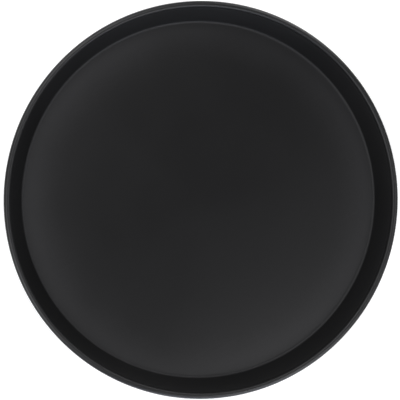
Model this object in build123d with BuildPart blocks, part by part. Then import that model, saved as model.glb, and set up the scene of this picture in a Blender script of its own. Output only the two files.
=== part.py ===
"""Round non-skid serving tray, 14 inches across.

A moulded pan of glass-fibre reinforced polyester carries a rubber grip liner, which is
bonded to its floor and its flared wall. The wall ends in a round bead. A steel hoop is
moulded inside the bead and keeps the rim round.

Frame: millimetres, +Z up, origin on the tray's axis in the plane that it stands on.
"""

import math
import os

from build123d import *

# Overall sizes
rim_diameter = 355.6
overall_height = 28.6

# Pan
shell_thickness = 2.2
wall_angle = 63.0  # from the floor, flaring outwards
bead_diameter = 5.5
neck_radius = 1.6  # where the bead's underside meets the outside of the wall

# Foot ring under the floor
foot_inset = 7.5  # from the edge of the floor's flat to the ring's own flat face
foot_width = 5.0  # of that flat face
foot_height = 0.8
foot_draft = 30.0  # from vertical, on both of its sides
foot_edge_radius = 0.3

# Rubber grip liner
liner_thickness = 1.0
liner_setback = 0.3  # how far the rubber lies below the bead's inner side
cove_radius = 3.5  # between floor and wall, on the rubber

# Steel hoop
hoop_wire_diameter = 2.0
hoop_end_gap = 1.5  # between the two cut ends

# The rubber's face, which the other surfaces are offset from
surface_height = foot_height + shell_thickness + liner_thickness
bead_radius = bead_diameter / 2
bead_centre = Vector(rim_diameter / 2 - bead_radius, 0, overall_height - bead_radius)
slope = math.radians(wall_angle)
wall_direction = Vector(math.cos(slope), 0, math.sin(slope))
wall_normal = Vector(-math.sin(slope), 0, math.cos(slope))  # towards the load
wall_top = bead_centre + wall_normal * (bead_radius - liner_setback)
wall_foot = wall_top - wall_direction * ((wall_top.Z - surface_height) / math.sin(slope))
flat_edge = wall_foot.X - cove_radius * math.tan(slope / 2)

# The same places in the half section's own plane: radius, then height
bead_point = (bead_centre.X, bead_centre.Z)
wall_top_point = (wall_top.X, wall_top.Z)
wall_foot_point = (wall_foot.X, surface_height)
axis_point = (0, surface_height)


def grip_face_line():
    """The half section of the rubber's face: floor, cove and wall, up to the bead."""
    return FilletPolyline(axis_point, wall_foot_point, wall_top_point, radius=cove_radius)


with BuildPart() as rim_hoop:
    with BuildSketch(Plane.XZ):
        with Locations(bead_point):
            Circle(hoop_wire_diameter / 2)
    gap_angle = math.degrees(hoop_end_gap / bead_centre.X)
    revolve(axis=Axis.Z, revolution_arc=360 - gap_angle)
rim_hoop.part.label = "rim_hoop"


with BuildPart() as grip_liner:
    with BuildSketch(Plane.XZ):
        with BuildLine():
            grip_face_line()
            offset(amount=liner_thickness, side=Side.RIGHT)
        make_face()
        with Locations(bead_point):
            Circle(bead_radius, mode=Mode.SUBTRACT)
    revolve(axis=Axis.Z)
grip_liner.part.label = "grip_liner"


with BuildPart() as tray_pan:
    with BuildSketch(Plane.XZ) as pan_section:
        # The shell, which follows the back of the rubber
        with BuildLine():
            grip_face_line()
            offset(amount=liner_thickness, side=Side.RIGHT, closed=False)
            offset(amount=shell_thickness, side=Side.RIGHT)
        make_face()
        # The bead on the wall's upper edge
        with Locations(bead_point):
            Circle(bead_radius)
        outside = pan_section.vertices().filter_by(lambda corner: corner.Y > surface_height)
        fillet(outside.sort_by(Axis.X)[-1], radius=neck_radius)
        # The foot ring, whose top lies inside the shell
        foot_outer = flat_edge - foot_inset
        foot_inner = foot_outer - foot_width
        foot_slant = foot_height * math.tan(math.radians(foot_draft))
        foot_root = foot_height + shell_thickness / 2
        with BuildLine():
            Polyline(
                (foot_inner, 0),
                (foot_outer, 0),
                (foot_outer + foot_slant, foot_height),
                (foot_outer + foot_slant, foot_root),
                (foot_inner - foot_slant, foot_root),
                (foot_inner - foot_slant, foot_height),
                close=True,
            )
        make_face()
        foot_corners = pan_section.vertices().filter_by(
            lambda corner: foot_inner - 2 * foot_slant < corner.X < foot_outer + 2 * foot_slant
            and corner.Y < foot_root
        )
        fillet(foot_corners, radius=foot_edge_radius)
    revolve(axis=Axis.Z)
    add(rim_hoop.part, mode=Mode.SUBTRACT)
tray_pan.part.label = "tray_pan"


os.makedirs("parts", exist_ok=True)
for piece in (tray_pan, grip_liner, rim_hoop):
    export_step(piece.part, f"parts/{piece.part.label}.step")
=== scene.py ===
"""A round non-skid serving tray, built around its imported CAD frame: the steel hoop, the
moulded pan round it, and the rubber grip liner bonded into the pan. Metres, +Z up."""

import math

import bpy
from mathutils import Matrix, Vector


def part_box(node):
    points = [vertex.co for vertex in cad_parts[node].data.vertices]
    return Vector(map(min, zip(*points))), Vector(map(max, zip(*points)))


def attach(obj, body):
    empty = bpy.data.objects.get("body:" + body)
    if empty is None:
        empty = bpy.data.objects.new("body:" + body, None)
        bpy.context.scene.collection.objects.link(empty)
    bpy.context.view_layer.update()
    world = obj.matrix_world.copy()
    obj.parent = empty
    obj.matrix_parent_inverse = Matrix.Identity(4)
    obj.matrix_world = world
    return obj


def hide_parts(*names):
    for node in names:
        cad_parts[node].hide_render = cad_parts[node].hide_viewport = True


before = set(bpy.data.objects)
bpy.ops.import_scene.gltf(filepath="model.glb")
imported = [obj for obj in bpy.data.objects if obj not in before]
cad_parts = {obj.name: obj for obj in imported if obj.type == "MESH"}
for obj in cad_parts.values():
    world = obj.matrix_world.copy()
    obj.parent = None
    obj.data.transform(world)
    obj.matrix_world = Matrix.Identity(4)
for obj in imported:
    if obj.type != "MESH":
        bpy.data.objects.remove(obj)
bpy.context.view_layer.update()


# ---------------------------------------------------------------- camera
# A long lens looks down on the tray from above, a little to the left of its axis, with
# +Y up in the picture.
camera_distance = 1.4
camera_lean = math.radians(8.4)  # from the tray's axis
camera_bearing = math.radians(168)  # the way it leans, from +X
camera_lens = 0.14005  # with a 36 mm sensor
camera_aim = Vector((-0.00225, 0.00029, 0.015))
away = Vector((
    math.sin(camera_lean) * math.cos(camera_bearing),
    math.sin(camera_lean) * math.sin(camera_bearing),
    math.cos(camera_lean),
))
bpy.ops.object.camera_add(
    location=camera_aim + away * camera_distance,
    rotation=(math.asin(-away.y), math.atan2(away.x, away.z), 0),
)
camera = bpy.context.object
camera.name = "camera"
camera.data.sensor_width = 36
camera.data.lens = camera_lens * 1000
camera.data.clip_start = 0.01
camera.data.clip_end = 50
scene = bpy.context.scene
scene.camera = camera


# ---------------------------------------------------------------- table and light
# A plain white table top of translucent acrylic, lit from below, in a dark room with a pale
# band low on its walls. Small softboxes stand in a ring close round the tray, with a lower
# one further out at the back. Two low, bluish ones stand in front, like windows.
pan_low, pan_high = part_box("tray_pan")
table_size = 30
table_grey = 0.45
table_glow = 0.72
bpy.ops.mesh.primitive_plane_add(size=table_size, location=(0, 0, pan_low.z))
table_top = bpy.context.object
table_top.name = "table_top"
table_paint = bpy.data.materials.new("table_paint")
table_paint.use_nodes = True
paint = table_paint.node_tree.nodes["Principled BSDF"]
paint.inputs["Base Color"].default_value = (table_grey, table_grey, table_grey, 1)
paint.inputs["Roughness"].default_value = 0.8
paint.inputs["Specular IOR Level"].default_value = 0.0
paint.inputs["Emission Color"].default_value = (1, 1, 1, 1)
paint.inputs["Emission Strength"].default_value = table_glow
table_top.data.materials.append(table_paint)

scene.view_settings.view_transform = "Standard"
room = bpy.data.worlds.new("room")
scene.world = room
room.use_nodes = True
room_nodes, room_links = room.node_tree.nodes, room.node_tree.links
band_top_start, band_top_end = 0.08, 0.16  # sines of about 5 and 9 degrees
band_strength = 0.7
direction = room_nodes.new("ShaderNodeTexCoord")
split = room_nodes.new("ShaderNodeSeparateXYZ")
walls = room_nodes.new("ShaderNodeMapRange")
walls.inputs["From Min"].default_value = band_top_start
walls.inputs["From Max"].default_value = band_top_end
walls.inputs["To Min"].default_value = band_strength
walls.inputs["To Max"].default_value = 0.0
room_nodes["Background"].inputs["Color"].default_value = (1, 1, 1, 1)
room_links.new(direction.outputs["Generated"], split.inputs["Vector"])
room_links.new(split.outputs["Z"], walls.inputs["Value"])
room_links.new(walls.outputs["Result"], room_nodes["Background"].inputs["Strength"])


daylight = (0.995, 0.995, 1.02)
window_light = (0.9, 0.97, 1.15)


def softbox(name, bearing, reach, height, width, power, colour=daylight):
    """A square area light that faces the tray's middle, at a bearing in degrees from +X, a
    distance from the tray's axis and a height above the table."""
    turn = math.radians(bearing)
    spot = Vector((reach * math.cos(turn), reach * math.sin(turn), height))
    bpy.ops.object.light_add(
        type="AREA", location=spot, rotation=spot.to_track_quat("Z", "Y").to_euler()
    )
    box = bpy.context.object
    box.name = name
    box.data.size = width
    box.data.energy = power
    box.data.color = colour
    box.visible_camera = False


ring_powers = ((0, 0.32), (120, 0.77), (150, 0.35), (210, 0.93), (300, 0.89), (330, 0.1))
for bearing, power in ring_powers:
    softbox(f"softbox_{bearing}", bearing, reach=0.34, height=0.34, width=0.22, power=power)
softbox("softbox_back", 60, reach=0.42, height=0.2, width=0.22, power=0.68)
window_powers = ((270, 0.74), (300, 0.44))
for bearing, power in window_powers:
    softbox(
        f"low_window_{bearing}", bearing,
        reach=0.54, height=0.115, width=0.26, power=power, colour=window_light,
    )


# ---------------------------------------------------------------- steel hoop
# A length of drawn steel wire, bent to a ring and laid into the mould. Its two sawn ends
# lie a little apart. The pan is moulded round it, so it can't be seen or come out.
bead_radius = 0.00275
bead_centre = Vector((pan_high.x - bead_radius, pan_high.z - bead_radius))
wire_radius = 0.001
wire_end_gap = 0.0015
wire_end_chamfer = 0.00015
wire_sides = 24
turn_steps = 288  # facets once round the tray
same_turn = 1e-5  # radians


def deselect():
    """Leaves nothing selected and no object in edit mode."""
    if bpy.context.object and bpy.context.object.mode == "EDIT":
        bpy.ops.object.mode_set(mode="OBJECT")
    bpy.ops.object.select_all(action="DESELECT")


def pick_edges(piece, wanted):
    """In edit mode, selects the edges whose two ends wanted(one, other) says yes to."""
    bpy.ops.mesh.select_all(action="DESELECT")
    bpy.ops.object.mode_set(mode="OBJECT")
    corners = piece.data.vertices
    for edge in piece.data.edges:
        edge.select = wanted(*(corners[i].co for i in edge.vertices))
    bpy.ops.object.mode_set(mode="EDIT")
    bpy.ops.mesh.select_mode(type="EDGE")


deselect()
bpy.ops.mesh.primitive_circle_add(
    vertices=wire_sides,
    radius=wire_radius,
    fill_type="NGON",
    location=(bead_centre.x, 0, bead_centre.y),
    rotation=(math.pi / 2, 0, 0),
)
hoop = bpy.context.object
hoop.name = "hoop_wire"
bpy.ops.object.transform_apply(location=True, rotation=True, scale=True)
bpy.ops.object.mode_set(mode="EDIT")
bpy.ops.mesh.select_all(action="SELECT")
bpy.ops.mesh.spin(
    steps=turn_steps,
    angle=math.tau - wire_end_gap / bead_centre.x,
    center=(0, 0, 0),
    axis=(0, 0, 1),
)
bpy.ops.mesh.select_all(action="SELECT")
bpy.ops.mesh.normals_make_consistent(inside=False)


def round_a_wire_end(one, other):
    """Whether an edge runs round one of the wire's two ends."""
    turns = [math.atan2(end.y, end.x) for end in (one, other)]
    at_an_end = all(-1.1 * wire_end_gap / bead_centre.x < turn < same_turn for turn in turns)
    return at_an_end and abs(turns[0] - turns[1]) < same_turn


pick_edges(hoop, round_a_wire_end)
bpy.ops.mesh.bevel(offset=wire_end_chamfer, segments=1)
bpy.ops.object.mode_set(mode="OBJECT")
bpy.ops.object.shade_smooth_by_angle(angle=math.radians(40))


def shader_of(name, colour, roughness):
    """A new material, its nodes, its links and its shader, with that colour and roughness."""
    made = bpy.data.materials.new(name)
    made.use_nodes = True
    nodes, links = made.node_tree.nodes, made.node_tree.links
    shader = nodes["Principled BSDF"]
    shader.inputs["Base Color"].default_value = (*colour, 1)
    shader.inputs["Roughness"].default_value = roughness
    return made, nodes, links, shader


def noise(nodes, links, place, scale, detail=2.0, rough=0.5):
    """A noise pattern on a place, whose features are about 1 / scale metres across."""
    pattern = nodes.new("ShaderNodeTexNoise")
    pattern.inputs["Scale"].default_value = scale
    pattern.inputs["Detail"].default_value = detail
    pattern.inputs["Roughness"].default_value = rough
    links.new(place, pattern.inputs["Vector"])
    return pattern.outputs["Fac"]


def spread(nodes, links, value, from_low, from_high, to_low, to_high):
    """Maps a value's range to another range, and stops at its ends."""
    mapped = nodes.new("ShaderNodeMapRange")
    for socket, number in zip(
        ("From Min", "From Max", "To Min", "To Max"), (from_low, from_high, to_low, to_high)
    ):
        mapped.inputs[socket].default_value = number
    links.new(value, mapped.inputs["Value"])
    return mapped.outputs["Result"]


def bump(nodes, links, height, distance, below=None):
    """A bump of that height in metres, or a dent if it is negative, laid on the bump below
    it if there is one."""
    relief = nodes.new("ShaderNodeBump")
    relief.inputs["Distance"].default_value = abs(distance)
    relief.invert = distance < 0
    links.new(height, relief.inputs["Height"])
    if below:
        links.new(below, relief.inputs["Normal"])
    return relief.outputs["Normal"]


hoop_steel, nodes, links, shader = shader_of("hoop_steel", (0.46, 0.46, 0.47), 0.34)
shader.inputs["Metallic"].default_value = 1.0
place = nodes.new("ShaderNodeTexCoord").outputs["Object"]
mill_marks = noise(nodes, links, place, scale=2400, detail=3)
links.new(spread(nodes, links, mill_marks, 0.3, 0.7, 0.28, 0.44), shader.inputs["Roughness"])
links.new(bump(nodes, links, mill_marks, distance=0.00001), shader.inputs["Normal"])
hoop.data.materials.append(hoop_steel)
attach(hoop, "root")
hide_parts("rim_hoop")


# ---------------------------------------------------------------- moulded pan
# Glass-fibre reinforced polyester, pressed in a heated mould round the hoop: a flat floor,
# a cove, a flared wall and a round bead. It stands on a low ring under its floor.
liner_low, liner_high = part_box("grip_liner")
slope = math.radians(63)  # of the wall, from the floor
cove_radius = 0.0035  # on the rubber's face
liner_thickness = 0.001
liner_setback = 0.0003
shell_thickness = 0.0022
neck_radius = 0.0016
foot_inset, foot_width = 0.0075, 0.005
foot_draft = math.radians(30)
foot_rounding = 0.0003
flash_width, flash_height = 0.0005, 0.00004  # the mould's parting line, round the bead
same_place = 2e-5  # metres
same_ring = 1e-6  # metres, between the half section places of an edge's two ends

up_wall = Vector((math.cos(slope), math.sin(slope)))
off_wall = Vector((-math.sin(slope), math.cos(slope)))  # towards the load
face_height = liner_low.z + liner_thickness
wall_top = bead_centre + off_wall * (bead_radius - liner_setback)
wall_foot = wall_top - up_wall * ((wall_top.y - face_height) / math.sin(slope))
flat_edge = wall_foot.x - cove_radius * math.tan(slope / 2)
cove_centre = Vector((flat_edge, face_height + cove_radius))


def arc(centre, radius, start, end, steps):
    """Points along an arc in the half section, from one angle to another, in radians."""
    turns = [start + (end - start) * i / steps for i in range(steps + 1)]
    return [centre + radius * Vector((math.cos(t), math.sin(t))) for t in turns]


def angle_of(vector):
    return math.atan2(vector.y, vector.x)


def lathe(name, outline):
    """Draws a half section that starts and ends on the tray's axis, one point after
    another, and spins it once round the axis."""
    deselect()
    bpy.ops.mesh.primitive_plane_add(size=0.001, location=(outline[0].x, 0, outline[0].y))
    piece = bpy.context.object
    piece.name = name
    bpy.ops.object.transform_apply(location=True, rotation=True, scale=True)
    bpy.ops.object.mode_set(mode="EDIT")
    bpy.ops.mesh.select_mode(type="VERT")
    bpy.ops.mesh.select_all(action="SELECT")
    bpy.ops.mesh.merge(type="CENTER")
    bpy.ops.mesh.select_all(action="SELECT")
    for here, there in zip(outline, outline[1:]):
        step = (there.x - here.x, 0, there.y - here.y)
        bpy.ops.mesh.extrude_region_move(TRANSFORM_OT_translate={"value": step})
    bpy.ops.mesh.select_all(action="SELECT")
    bpy.ops.mesh.spin(steps=turn_steps, angle=math.tau, center=(0, 0, 0), axis=(0, 0, 1))
    bpy.ops.mesh.select_all(action="SELECT")
    bpy.ops.mesh.remove_doubles(threshold=1e-5)
    bpy.ops.mesh.normals_make_consistent(inside=False)
    return piece


def pick_rings(piece, places):
    """In edit mode, selects the rings of edges round the tray's axis that pass through one
    of the places in the half section."""
    def wanted(one, other):
        here, there = (Vector((end.xy.length, end.z)) for end in (one, other))
        near = any((here - place).length < same_place for place in places)
        return near and (here - there).length < same_ring
    pick_edges(piece, wanted)


def wall_meets(circle_radius, distance):
    """Where a line along the wall, at a distance from the bead's centre towards the load,
    meets a circle round that centre from below."""
    along = math.sqrt(circle_radius**2 - distance**2)
    return bead_centre + off_wall * distance - up_wall * along


cove_start, cove_end = -math.pi / 2, slope - math.pi / 2
shell_face = bead_radius - liner_setback - liner_thickness  # from the bead's centre
shell_back = shell_face - shell_thickness
neck_along = math.sqrt((bead_radius + neck_radius) ** 2 - (shell_back - neck_radius) ** 2)
neck_centre = bead_centre + off_wall * (shell_back - neck_radius) - up_wall * neck_along
bead_start = angle_of(wall_meets(bead_radius, shell_face) - bead_centre) + math.tau
bead_end = angle_of(neck_centre - bead_centre)
foot_outer = flat_edge - foot_inset
foot_inner = foot_outer - foot_width
foot_top = liner_low.z - shell_thickness
foot_spread = (foot_top - pan_low.z) * math.tan(foot_draft)
foot_corners = [
    Vector((foot_outer + foot_spread, foot_top)),
    Vector((foot_outer, pan_low.z)),
    Vector((foot_inner, pan_low.z)),
    Vector((foot_inner - foot_spread, foot_top)),
]
floor_rings = [0.02, 0.05, 0.08, 0.11, 0.135]

pan_outline = [Vector((0, liner_low.z))]
pan_outline += [Vector((r, liner_low.z)) for r in floor_rings]
pan_outline += arc(cove_centre, cove_radius + liner_thickness, cove_start, cove_end, 12)
pan_outline += arc(bead_centre, bead_radius, bead_start, 0, 42)
pan_outline += arc(bead_centre, bead_radius, 0, bead_end, 14)
pan_outline += arc(neck_centre, neck_radius, bead_end + math.pi, angle_of(off_wall), 8)
shell_cove = cove_radius + liner_thickness + shell_thickness
pan_outline += arc(cove_centre, shell_cove, cove_end, cove_start, 14)
pan_outline += foot_corners
pan_outline += [Vector((r, foot_top)) for r in reversed(floor_rings)]
pan_outline += [Vector((0, foot_top))]
pan = lathe("moulded_pan", pan_outline)

# The ring's four corners are rounded
pick_rings(pan, foot_corners)
corner_turn = math.pi / 2 - foot_draft
bpy.ops.mesh.bevel(offset=foot_rounding * math.tan(corner_turn / 2), segments=4)

# The parting line, a thin raised band where the bead is widest
widest = bead_centre + Vector((bead_radius, 0))
pick_rings(pan, [widest])
bpy.ops.mesh.bevel(offset=flash_width / 2, segments=2)
pick_rings(pan, [widest])
swell = 1 + flash_height / widest.x
bpy.ops.transform.resize(value=(swell, swell, 1), center_override=(0, 0, bead_centre.y))

# The channel that the wire fills
bpy.ops.mesh.select_all(action="DESELECT")
bpy.ops.mesh.primitive_torus_add(
    major_radius=bead_centre.x,
    minor_radius=wire_radius,
    major_segments=turn_steps,
    minor_segments=wire_sides,
    location=(0, 0, bead_centre.y),
)
bpy.ops.mesh.flip_normals()
bpy.ops.object.mode_set(mode="OBJECT")
bpy.ops.object.shade_smooth_by_angle(angle=math.radians(35))


def math_of(nodes, links, operation, one, other):
    """One value worked out from two, each a socket or a number."""
    worked = nodes.new("ShaderNodeMath")
    worked.operation = operation
    for socket, value in zip(worked.inputs, (one, other)):
        if isinstance(value, (int, float)):
            socket.default_value = value
        else:
            links.new(value, socket)
    return worked.outputs["Value"]


def from_axis(nodes, links, place):
    """How far a place is from the tray's axis, and its height."""
    parts = nodes.new("ShaderNodeSeparateXYZ")
    links.new(place, parts.inputs["Vector"])
    across = math_of(nodes, links, "MULTIPLY", parts.outputs["X"], parts.outputs["X"])
    along = math_of(nodes, links, "MULTIPLY", parts.outputs["Y"], parts.outputs["Y"])
    both = math_of(nodes, links, "ADD", across, along)
    return math_of(nodes, links, "SQRT", both, 0), parts.outputs["Z"]


def strands(nodes, links, place, turn, length, width):
    """Straight strands that all lie at one angle round the vertical."""
    laid = nodes.new("ShaderNodeMapping")
    laid.vector_type = "TEXTURE"
    laid.inputs["Rotation"].default_value = (0, 0, turn)
    laid.inputs["Scale"].default_value = (length, width, width)
    links.new(place, laid.inputs["Vector"])
    return noise(nodes, links, laid.outputs["Vector"], 1.0, 1.0)


def shades(nodes, links, value, *steps):
    """A colour from a value, by (value, grey) steps, each a little bluer than grey."""
    ramp = nodes.new("ShaderNodeValToRGB")
    for i, (at, grey) in enumerate(steps):
        step = ramp.color_ramp.elements[i] if i < 2 else ramp.color_ramp.elements.new(at)
        step.position = at
        step.color = (grey, grey, grey * 1.04, 1)
    links.new(value, ramp.inputs["Fac"])
    return ramp.outputs["Color"]


# Bundles of chopped glass print through the skin as short strands, hands have polished the
# bead, and tables have scuffed the face of the foot ring
shell_plastic, nodes, links, shader = shader_of("moulded_shell", (0.008, 0.008, 0.0083), 0.42)
shader.inputs["Specular IOR Level"].default_value = 0.46
place = nodes.new("ShaderNodeTexCoord").outputs["Object"]
reach, height = from_axis(nodes, links, place)
glass = 0.0
bundle_turns = (0.3, 1.25, 2.4, 2.9)
for turn in bundle_turns:
    bundle = strands(nodes, links, place, turn, length=0.018, width=0.0011)
    glass = math_of(nodes, links, "MAXIMUM", glass, bundle)
glass = spread(nodes, links, glass, 0.5, 0.72, 0, 1)
glass_fades_from, glass_fades_to = 0.0215, 0.0235  # heights, where the wall meets the bead
below_bead = spread(nodes, links, height, glass_fades_from, glass_fades_to, 1, 0)
glass = math_of(nodes, links, "MULTIPLY", glass, below_bead)
cloudy = noise(nodes, links, place, scale=22, detail=3)
scratch = math_of(
    nodes, links, "MAXIMUM",
    strands(nodes, links, place, turn=0.7, length=0.03, width=0.00025),
    strands(nodes, links, place, turn=2.2, length=0.022, width=0.0003),
)
scratch = spread(nodes, links, scratch, 0.6, 0.7, 0, 1)
scuffs_fade_from, scuffs_fade_to = 0.0001, 0.0004  # heights, on the foot ring
on_foot = spread(nodes, links, height, scuffs_fade_from, scuffs_fade_to, 1, 0.05)
rubbed = math_of(nodes, links, "MULTIPLY", scratch, on_foot)
tone = math_of(nodes, links, "ADD", spread(nodes, links, cloudy, 0.3, 0.7, 0.1, 0.3), rubbed)
tone = math_of(nodes, links, "ADD", tone, math_of(nodes, links, "MULTIPLY", glass, 0.3))
links.new(
    shades(nodes, links, tone, (0.0, 0.005), (0.4, 0.008), (1.0, 0.05)),
    shader.inputs["Base Color"],
)
polish_from, polish_to = 0.1750, 0.1774  # out from the axis, on the bead
polish = math_of(
    nodes, links, "MULTIPLY",
    spread(nodes, links, reach, polish_from, polish_to, 0, 1),
    spread(nodes, links, cloudy, 0.35, 0.65, 0.4, 1),
)
sheen = math_of(nodes, links, "MULTIPLY", polish, -0.04)
sheen = math_of(nodes, links, "ADD", sheen, spread(nodes, links, cloudy, 0.3, 0.7, 0.42, 0.5))
sheen = math_of(nodes, links, "ADD", sheen, math_of(nodes, links, "MULTIPLY", rubbed, 0.2))
sheen = math_of(nodes, links, "SUBTRACT", sheen, math_of(nodes, links, "MULTIPLY", glass, 0.08))
links.new(sheen, shader.inputs["Roughness"])
orange_peel = noise(nodes, links, place, scale=650, detail=2)
skin = bump(nodes, links, orange_peel, distance=0.000012)
skin = bump(nodes, links, glass, distance=0.00003, below=skin)
skin = bump(nodes, links, rubbed, distance=-0.00001, below=skin)
links.new(skin, shader.inputs["Normal"])
pan.data.materials.append(shell_plastic)
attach(pan, "root")
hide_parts("tray_pan")


# ---------------------------------------------------------------- rubber grip liner
# A sheet of black rubber with a fine matt grain, bonded to the pan's floor, cove and wall.
# It is trimmed just below the bead, which leaves a hairline round its edge.
liner_gap = 0.00012  # between the trimmed edge and the bead
trim_rounding = 0.0002

face_line = bead_radius - liner_setback
trim_face = wall_meets(bead_radius + liner_gap, face_line)
trim_start = angle_of(trim_face - bead_centre) % math.tau
trim_back = wall_meets(bead_radius + liner_gap, shell_face)
trim_end = angle_of(trim_back - bead_centre) % math.tau
liner_outline = [Vector((0, face_height))]
liner_outline += [Vector((r, face_height)) for r in floor_rings]
liner_outline += arc(cove_centre, cove_radius, cove_start, cove_end, 14)
liner_outline += arc(bead_centre, bead_radius + liner_gap, trim_start, trim_end, 4)
liner_outline += arc(cove_centre, cove_radius + liner_thickness, cove_end, cove_start, 12)
liner_outline += [Vector((r, liner_low.z)) for r in reversed(floor_rings)]
liner_outline += [Vector((0, liner_low.z))]
liner = lathe("grip_rubber", liner_outline)
pick_rings(liner, [trim_face])
bpy.ops.mesh.bevel(offset=trim_rounding, segments=3)
bpy.ops.object.mode_set(mode="OBJECT")
bpy.ops.object.shade_smooth_by_angle(angle=math.radians(35))

# Its face is a fine pebble grain. Glasses leave faint rubbed streaks on the floor. A painted
# sheen lightens the floor towards the cove, and a painted highlight the wall's upper part, in
# place of the light they catch. The trimmed edge is paler from handling.
grip_rubber, nodes, links, shader = shader_of("grip_rubber", (0.0025, 0.0025, 0.0026), 0.5)
shader.inputs["Specular IOR Level"].default_value = 0.29
place = nodes.new("ShaderNodeTexCoord").outputs["Object"]
reach, height = from_axis(nodes, links, place)
pebbles = nodes.new("ShaderNodeTexVoronoi")
pebbles.feature = "SMOOTH_F1"
pebbles_per_metre = 1900
pebbles.inputs["Scale"].default_value = pebbles_per_metre
links.new(place, pebbles.inputs["Vector"])
speckle = noise(nodes, links, place, scale=900, detail=3)
cloudy = noise(nodes, links, place, scale=16, detail=3)
streak = math_of(
    nodes, links, "MAXIMUM",
    strands(nodes, links, place, turn=0.5, length=0.05, width=0.0009),
    strands(nodes, links, place, turn=2.0, length=0.035, width=0.0007),
)
streak = spread(nodes, links, streak, 0.62, 0.74, 0, 1)
floor_fades_from, floor_fades_to = 0.0041, 0.006  # heights, in the cove
on_floor = spread(nodes, links, height, floor_fades_from, floor_fades_to, 1, 0)
streak = math_of(nodes, links, "MULTIPLY", streak, on_floor)
wear_start, wear_full = liner_high.z - 0.0009, liner_high.z - 0.0004
worn_edge = spread(nodes, links, height, wear_start, wear_full, 0, 1)
worn_edge = math_of(
    nodes, links, "MULTIPLY", worn_edge, spread(nodes, links, speckle, 0.4, 0.65, 0, 1)
)
# Painted highlight: the wall's upper part is made paler, standing in for the light it catches
# below the bead
painted_highlight_depth = 0.009
painted_wall_highlight = spread(nodes, links, height, liner_high.z - painted_highlight_depth, liner_high.z, 0, 1)
painted_wall_highlight = math_of(nodes, links, "MULTIPLY", painted_wall_highlight, painted_wall_highlight)
# Painted sheen: the floor's colour grows paler towards the cove, standing in for the light it
# catches there
painted_sheen_from, painted_sheen_to = 0.09, 0.159  # out from the axis
painted_sheen = spread(nodes, links, reach, painted_sheen_from, painted_sheen_to, 0, 1)
painted_sheen = math_of(nodes, links, "MULTIPLY", painted_sheen, painted_sheen)
painted_sheen = math_of(nodes, links, "MULTIPLY", painted_sheen, on_floor)
tone = math_of(
    nodes, links, "ADD",
    spread(nodes, links, cloudy, 0.3, 0.7, 0.1, 0.22),
    spread(nodes, links, speckle, 0.3, 0.7, 0.0, 0.16),
)
tone = math_of(nodes, links, "ADD", tone, math_of(nodes, links, "MULTIPLY", streak, 0.12))
tone = math_of(nodes, links, "ADD", tone, math_of(nodes, links, "MULTIPLY", worn_edge, 0.4))
tone = math_of(nodes, links, "ADD", tone, math_of(nodes, links, "MULTIPLY", painted_wall_highlight, 0.3))
tone = math_of(nodes, links, "ADD", tone, math_of(nodes, links, "MULTIPLY", painted_sheen, 0.9))
links.new(
    shades(nodes, links, tone, (0.0, 0.0013), (0.5, 0.0038), (1.0, 0.012)),
    shader.inputs["Base Color"],
)
sheen = spread(nodes, links, cloudy, 0.3, 0.7, 0.48, 0.52)
sheen = math_of(nodes, links, "SUBTRACT", sheen, math_of(nodes, links, "MULTIPLY", streak, 0.05))
links.new(sheen, shader.inputs["Roughness"])
grain = bump(nodes, links, pebbles.outputs["Distance"], distance=-0.00002)
grain = bump(nodes, links, speckle, distance=0.000015, below=grain)
links.new(grain, shader.inputs["Normal"])
liner.data.materials.append(grip_rubber)
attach(liner, "root")
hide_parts("grip_liner")
